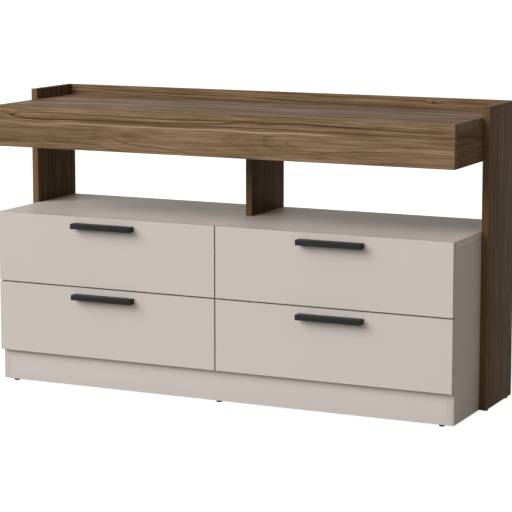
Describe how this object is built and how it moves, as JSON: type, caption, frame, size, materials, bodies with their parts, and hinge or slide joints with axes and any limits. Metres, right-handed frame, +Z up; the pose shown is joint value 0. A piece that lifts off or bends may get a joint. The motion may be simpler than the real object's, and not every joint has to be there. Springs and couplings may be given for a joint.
{
  "type": "chest of drawers",
  "caption": "Low wide chest of drawers with full-overlay cream fronts, black bar pulls and a raised walnut shelf over open bays.",
  "frame": {"origin": "middle of the bounding box at floor level, with the handles counted in its depth", "axes": "+X to the right along the longest side, +Y to the back, +Z up; the drawers open towards -Y"},
  "size_m": [1.34, 0.437, 0.785],
  "materials": {
    "cream_board": "matte melamine-faced chipboard",
    "walnut_board": "walnut-grain melamine-faced chipboard",
    "hardboard": "white-lacquered thin hardboard",
    "black_plastic": "matte moulded",
    "runner_steel": "zinc-plated rolled strip",
    "zinc_fittings": "bright zinc-plated"
  },
  "bodies": {
    "cabinet": {"side_panel_left": "cream_board", "side_panel_right": "cream_board", "centre_partition": "cream_board", "carcass_top": "cream_board", "carcass_bottom": "cream_board", "front_plinth": "cream_board", "rear_plinth": "cream_board", "upright_left": "walnut_board", "upright_right": "walnut_board", "middle_support": "walnut_board", "shelf_top": "walnut_board", "shelf_fascia": "walnut_board", "shelf_end_left": "walnut_board", "shelf_end_right": "walnut_board", "shelf_rear_board": "walnut_board", "back_panel": "hardboard", "floor_glides": "black_plastic", "fixed_runner_members": "runner_steel", "cabinet_screws": "zinc_fittings", "cam_fittings": "zinc_fittings"},
    "lower_left_drawer": {"lower_left_front": "cream_board", "lower_left_left_side": "cream_board", "lower_left_right_side": "cream_board", "lower_left_back": "cream_board", "lower_left_bottom": "hardboard", "lower_left_handle": "black_plastic", "lower_left_screws": "zinc_fittings", "lower_left_cam_fittings": "zinc_fittings", "lower_left_runner_members": "runner_steel"},
    "lower_left_cages": {"lower_left_ball_cages": "zinc_fittings"},
    "lower_right_drawer": {"lower_right_front": "cream_board", "lower_right_left_side": "cream_board", "lower_right_right_side": "cream_board", "lower_right_back": "cream_board", "lower_right_bottom": "hardboard", "lower_right_handle": "black_plastic", "lower_right_screws": "zinc_fittings", "lower_right_cam_fittings": "zinc_fittings", "lower_right_runner_members": "runner_steel"},
    "lower_right_cages": {"lower_right_ball_cages": "zinc_fittings"},
    "upper_left_drawer": {"upper_left_front": "cream_board", "upper_left_left_side": "cream_board", "upper_left_right_side": "cream_board", "upper_left_back": "cream_board", "upper_left_bottom": "hardboard", "upper_left_handle": "black_plastic", "upper_left_screws": "zinc_fittings", "upper_left_cam_fittings": "zinc_fittings", "upper_left_runner_members": "runner_steel"},
    "upper_left_cages": {"upper_left_ball_cages": "zinc_fittings"},
    "upper_right_drawer": {"upper_right_front": "cream_board", "upper_right_left_side": "cream_board", "upper_right_right_side": "cream_board", "upper_right_back": "cream_board", "upper_right_bottom": "hardboard", "upper_right_handle": "black_plastic", "upper_right_screws": "zinc_fittings", "upper_right_cam_fittings": "zinc_fittings", "upper_right_runner_members": "runner_steel"},
    "upper_right_cages": {"upper_right_ball_cages": "zinc_fittings"}
  },
  "joints": [
    {"name": "lower_left_slide", "type": "slide", "parent": "cabinet", "child": "lower_left_drawer", "axis": [0, -1, 0], "range_m": [0, 0.262]},
    {"name": "lower_left_cage_slide", "type": "slide", "parent": "cabinet", "child": "lower_left_cages", "axis": [0, -1, 0], "range_m": [0, 0.131]},
    {"name": "lower_right_slide", "type": "slide", "parent": "cabinet", "child": "lower_right_drawer", "axis": [0, -1, 0], "range_m": [0, 0.262]},
    {"name": "lower_right_cage_slide", "type": "slide", "parent": "cabinet", "child": "lower_right_cages", "axis": [0, -1, 0], "range_m": [0, 0.131]},
    {"name": "upper_left_slide", "type": "slide", "parent": "cabinet", "child": "upper_left_drawer", "axis": [0, -1, 0], "range_m": [0, 0.262]},
    {"name": "upper_left_cage_slide", "type": "slide", "parent": "cabinet", "child": "upper_left_cages", "axis": [0, -1, 0], "range_m": [0, 0.131]},
    {"name": "upper_right_slide", "type": "slide", "parent": "cabinet", "child": "upper_right_drawer", "axis": [0, -1, 0], "range_m": [0, 0.262]},
    {"name": "upper_right_cage_slide", "type": "slide", "parent": "cabinet", "child": "upper_right_cages", "axis": [0, -1, 0], "range_m": [0, 0.131]}
  ],
  "couplings": [
    {"joint": "lower_left_cage_slide", "follows": "lower_left_slide", "ratio": 0.5},
    {"joint": "lower_right_cage_slide", "follows": "lower_right_slide", "ratio": 0.5},
    {"joint": "upper_left_cage_slide", "follows": "upper_left_slide", "ratio": 0.5},
    {"joint": "upper_right_cage_slide", "follows": "upper_right_slide", "ratio": 0.5}
  ]
}
